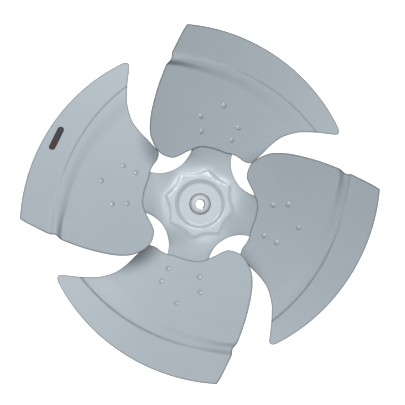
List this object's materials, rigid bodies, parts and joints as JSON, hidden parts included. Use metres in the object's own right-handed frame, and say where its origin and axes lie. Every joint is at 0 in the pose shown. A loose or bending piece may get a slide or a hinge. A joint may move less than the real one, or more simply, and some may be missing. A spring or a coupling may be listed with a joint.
{
  "type": "axial fan blade",
  "caption": "Axial fan wheel with pressed, swept blades riveted to a dished spider, and a keyed hub with set screws for a motor shaft",
  "frame": {"origin": "on the shaft axis, in the plane of the lowest points, the leading tips of the blades", "axes": "+Z is the shaft axis and points to the side that the air leaves from, towards the viewer of the picture; +X is right and +Y is up in the picture; the fan turns clockwise seen from +Z"},
  "size_m": [0.5592, 0.5592, 0.121],
  "materials": {
    "grey_paint": "semi-gloss light blue-grey paint",
    "hub_paint": "semi-gloss light blue-grey paint over turned steel",
    "rivet_paint": "semi-gloss light blue-grey paint",
    "screw_steel": "black oxide",
    "label_film": "dark printed film, bare"
  },
  "bodies": {
    "root": {"blade_1": "grey_paint", "blade_2": "grey_paint", "blade_3": "grey_paint", "blade_4": "grey_paint", "spider": "grey_paint", "hub": "hub_paint", "set_screw_1": "screw_steel", "set_screw_2": "screw_steel", "rivet_1_1": "rivet_paint", "rivet_1_2": "rivet_paint", "rivet_1_3": "rivet_paint", "rivet_1_4": "rivet_paint", "rivet_1_5": "rivet_paint", "rivet_2_1": "rivet_paint", "rivet_2_2": "rivet_paint", "rivet_2_3": "rivet_paint", "rivet_2_4": "rivet_paint", "rivet_2_5": "rivet_paint", "rivet_3_1": "rivet_paint", "rivet_3_2": "rivet_paint", "rivet_3_3": "rivet_paint", "rivet_3_4": "rivet_paint", "rivet_3_5": "rivet_paint", "rivet_4_1": "rivet_paint", "rivet_4_2": "rivet_paint", "rivet_4_3": "rivet_paint", "rivet_4_4": "rivet_paint", "rivet_4_5": "rivet_paint", "label_plate": "label_film"}
  },
  "joints": []
}
